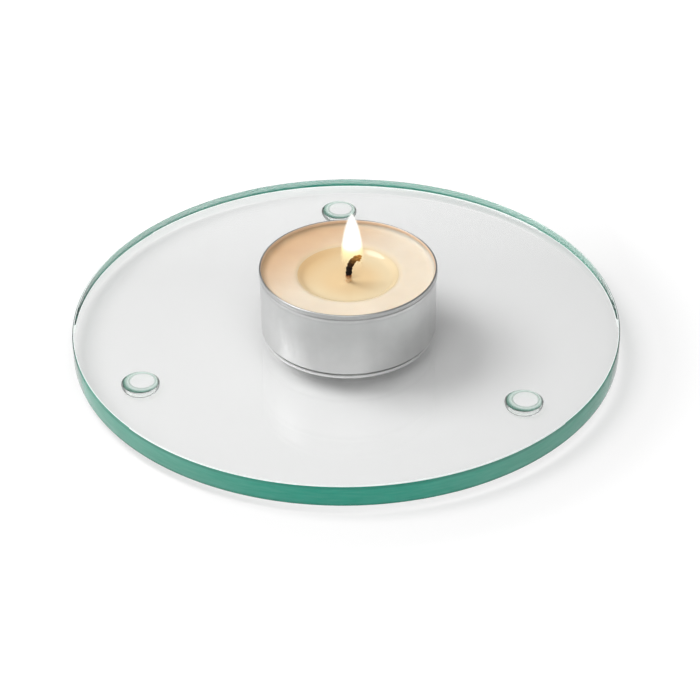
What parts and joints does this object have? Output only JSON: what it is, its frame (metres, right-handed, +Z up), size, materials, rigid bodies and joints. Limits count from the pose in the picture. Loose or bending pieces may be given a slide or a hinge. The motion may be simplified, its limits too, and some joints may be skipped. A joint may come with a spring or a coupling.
{
  "type": "candle plate",
  "caption": "Round clear glass candle plate on small clear stick-on feet, carrying a lit tealight in a drawn aluminium cup.",
  "frame": {"origin": "on the plate's axis, on the surface that its feet stand on", "axes": "+Z up along the plate's axis, +X to the right and -Y to the front as pictured"},
  "size_m": [0.12, 0.12, 0.0282],
  "materials": {
    "float_glass": "polished",
    "clear_polyurethane": "gloss",
    "clear_adhesive": "satin",
    "drawn_aluminium": "satin",
    "candle_wax": "satin",
    "melted_wax": "gloss",
    "burnt_cotton": "matte",
    "tinplate": "satin"
  },
  "bodies": {
    "plate": {"glass_plate": "float_glass", "foot_rear": "clear_polyurethane", "foot_left": "clear_polyurethane", "foot_right": "clear_polyurethane", "foot_adhesive_rear": "clear_adhesive", "foot_adhesive_left": "clear_adhesive", "foot_adhesive_right": "clear_adhesive"},
    "tealight": {"tealight_cup": "drawn_aluminium"},
    "candle": {"wax": "candle_wax", "wax_pool": "melted_wax", "wick": "burnt_cotton", "wick_sustainer": "tinplate"}
  },
  "joints": [
    {"name": "tealight_lift", "type": "slide", "parent": "plate", "child": "tealight", "axis": [0, 0, 1], "range_m": [0, 0.06]},
    {"name": "candle_lift", "type": "slide", "parent": "tealight", "child": "candle", "axis": [0, 0, 1], "range_m": [0, 0.03]}
  ]
}
